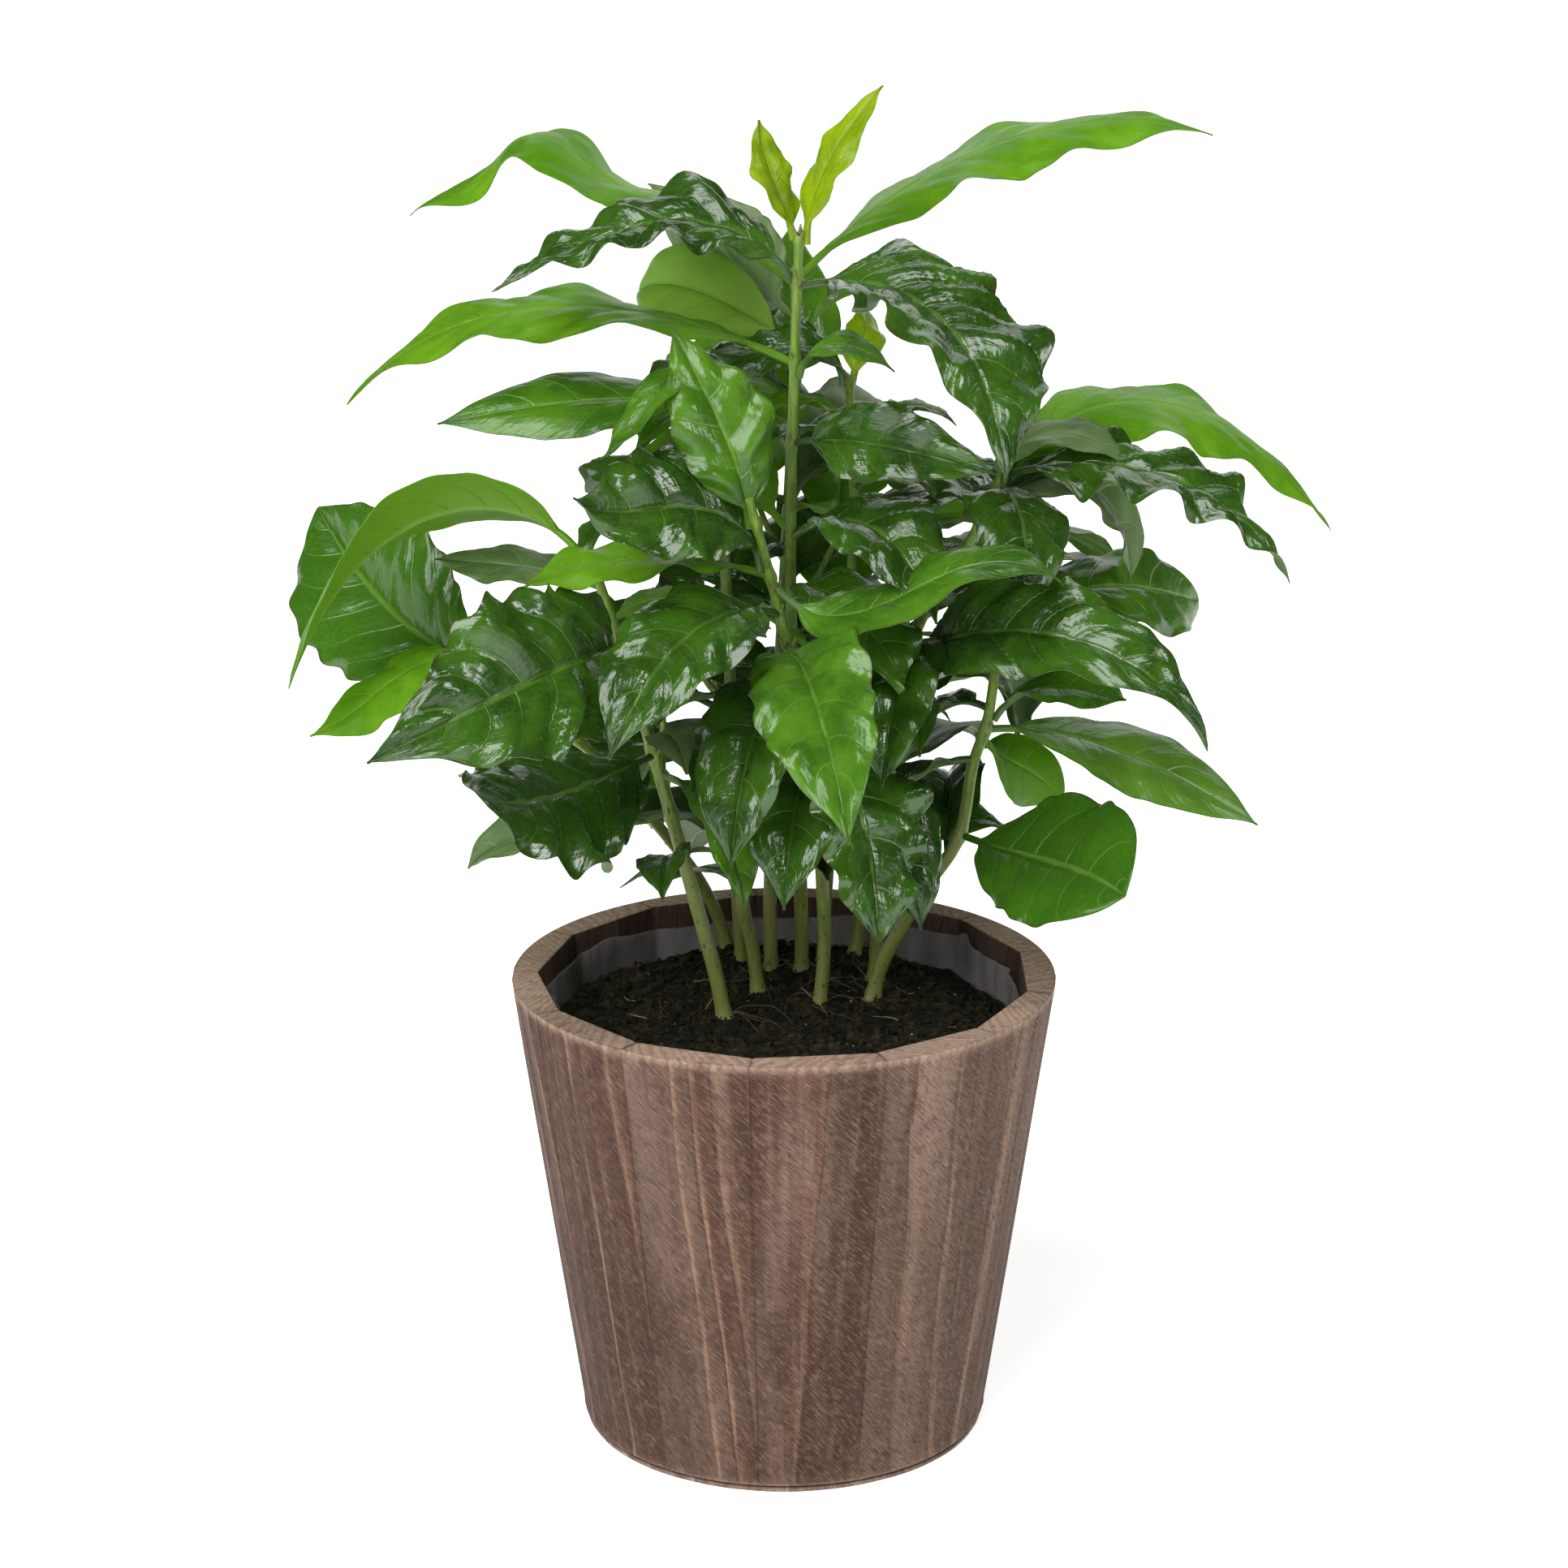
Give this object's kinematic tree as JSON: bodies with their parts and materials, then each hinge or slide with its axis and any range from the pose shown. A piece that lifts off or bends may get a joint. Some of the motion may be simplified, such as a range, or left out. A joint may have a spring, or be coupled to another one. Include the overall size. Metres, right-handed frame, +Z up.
{
  "type": "potted coffee plant",
  "caption": "Potted coffee plant: a clump of slender stems with broad glossy arching leaves, in a round tapering pot of wooden staves with a clear film liner.",
  "frame": {"origin": "middle of the pot's flat underside", "axes": "+Z up along the pot's axis, -Y towards the front of the picture, +X to its right"},
  "size_m": [0.2881, 0.2243, 0.3718],
  "materials": {
    "pot_wood": "rough stained sawn wood, worn pale along its joints",
    "liner_film": "thin clear crinkled film",
    "potting_soil": "moist dark peat with pale grit",
    "stem_green": "smooth olive green, browner near the soil",
    "leaf_dark": "glossy dark green leaf",
    "leaf_mid": "satin mid green leaf",
    "leaf_bright": "satin bright green leaf, light shining through",
    "leaf_young": "soft yellow green young leaf",
    "foliage": "small mixed green leaves"
  },
  "bodies": {
    "root": {"pot_wall": "pot_wood", "pot_base": "pot_wood", "liner": "liner_film", "soil": "potting_soil", "stem_main": "stem_green", "stem_back": "stem_green", "stem_shoot": "stem_green", "stem_left_back": "stem_green", "stem_left_front": "stem_green", "stem_left_far": "stem_green", "stem_front": "stem_green", "stem_right": "stem_green", "stem_right_low": "stem_green", "stem_rear_left": "stem_green", "stem_rear_right": "stem_green", "leaf_young_left": "leaf_young", "leaf_young_right": "leaf_young", "leaf_dark_left": "leaf_dark", "leaf_dark_right": "leaf_dark", "leaf_long_left": "leaf_bright", "leaf_inner_right": "leaf_dark", "leaf_top_right": "leaf_bright", "leaf_top_left": "leaf_bright", "leaf_back_round": "leaf_bright", "leaf_back_dull": "leaf_mid", "leaf_back_upright": "leaf_mid", "leaf_middle_dark": "leaf_dark", "leaf_shoot_up": "leaf_young", "leaf_left_gloss": "leaf_mid", "leaf_left_narrow": "leaf_mid", "leaf_left_arch": "leaf_bright", "leaf_left_broad": "leaf_dark", "leaf_left_low": "leaf_dark", "leaf_left_lowest": "leaf_mid", "leaf_far_left_pale": "leaf_mid", "leaf_far_left_low": "leaf_bright", "leaf_front_upright": "leaf_mid", "leaf_front_right_light": "leaf_mid", "leaf_front_left_dark": "leaf_dark", "leaf_front_left_broad": "leaf_dark", "leaf_front_right_broad": "leaf_mid", "leaf_front_low": "leaf_dark", "leaf_front_lowest": "leaf_dark", "leaf_far_right": "leaf_bright", "leaf_right_wavy": "leaf_dark", "leaf_right_hanging": "leaf_mid", "leaf_right_near": "leaf_dark", "leaf_right_broad": "leaf_dark", "leaf_right_round": "leaf_mid", "leaf_right_long": "leaf_mid", "leaf_right_pale": "leaf_bright", "leaf_right_lowest": "leaf_mid", "leaf_rear_high_left": "leaf_dark", "leaf_rear_centre": "leaf_mid", "leaf_rear_low_left": "leaf_dark", "leaf_rear_high_right": "leaf_mid", "leaf_rear_low_right": "leaf_dark", "foliage_rear": "foliage", "foliage_left": "foliage", "foliage_right": "foliage"}
  },
  "joints": []
}
